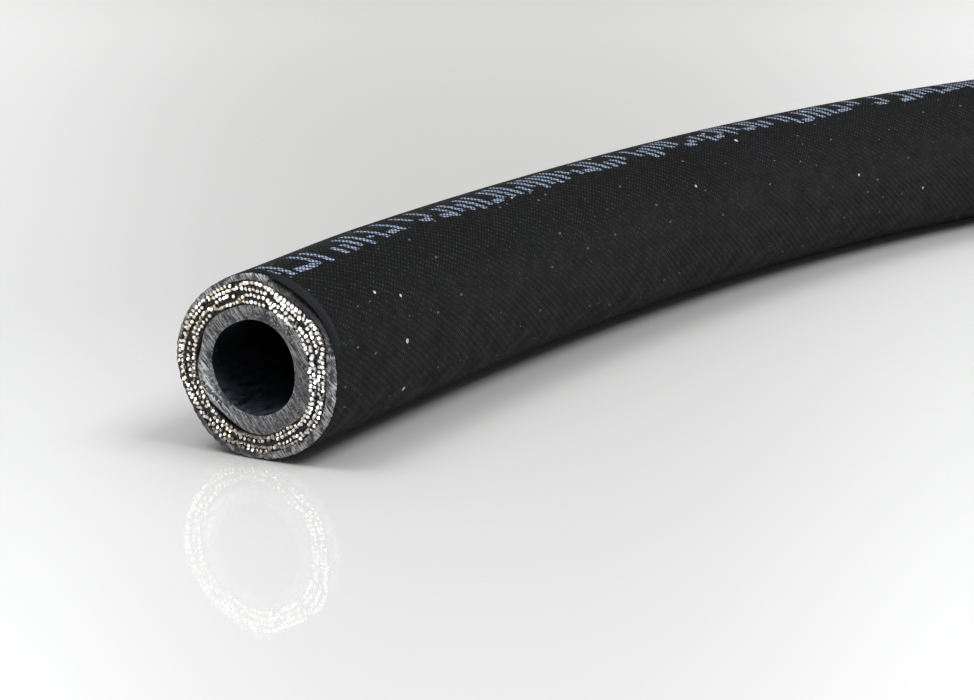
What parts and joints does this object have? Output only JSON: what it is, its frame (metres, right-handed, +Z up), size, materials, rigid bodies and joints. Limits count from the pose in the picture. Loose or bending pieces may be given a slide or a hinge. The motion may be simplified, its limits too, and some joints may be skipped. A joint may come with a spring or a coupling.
{
  "type": "hydraulic hose assembly",
  "caption": "Short curved hydraulic rubber hose with wire braids, cut bare at one end, with a crimped fitting and a swivelling hex nut at the other.",
  "frame": {"origin": "middle of the assembly's footprint on the ground, under the curve of the hose", "axes": "+Z up; the bare cut end faces -Y, and the fitting at the other end points along +X"},
  "size_m": [0.2966, 0.2762, 0.024],
  "materials": {
    "liner_rubber": "satin",
    "layer_rubber": "satin",
    "cover_rubber": "matte",
    "braid_wire": "satin",
    "plated_steel": "satin",
    "spring_steel": "satin",
    "seal_rubber": "satin"
  },
  "bodies": {
    "hose_body": {"hose_inner_tube": "liner_rubber", "inner_wire_braid": "braid_wire", "insulation_layer": "layer_rubber", "outer_wire_braid": "braid_wire", "hose_cover": "cover_rubber", "crimp_ferrule": "plated_steel", "hose_insert": "plated_steel", "cone_o_ring": "seal_rubber"},
    "nut_body": {"swivel_nut": "plated_steel", "thrust_wire": "spring_steel"}
  },
  "joints": [
    {"name": "nut_swivel", "type": "hinge", "parent": "hose_body", "child": "nut_body", "pos_m": [0.138, 0.1257, 0.012], "axis": [1, 0, 0], "continuous": true}
  ]
}
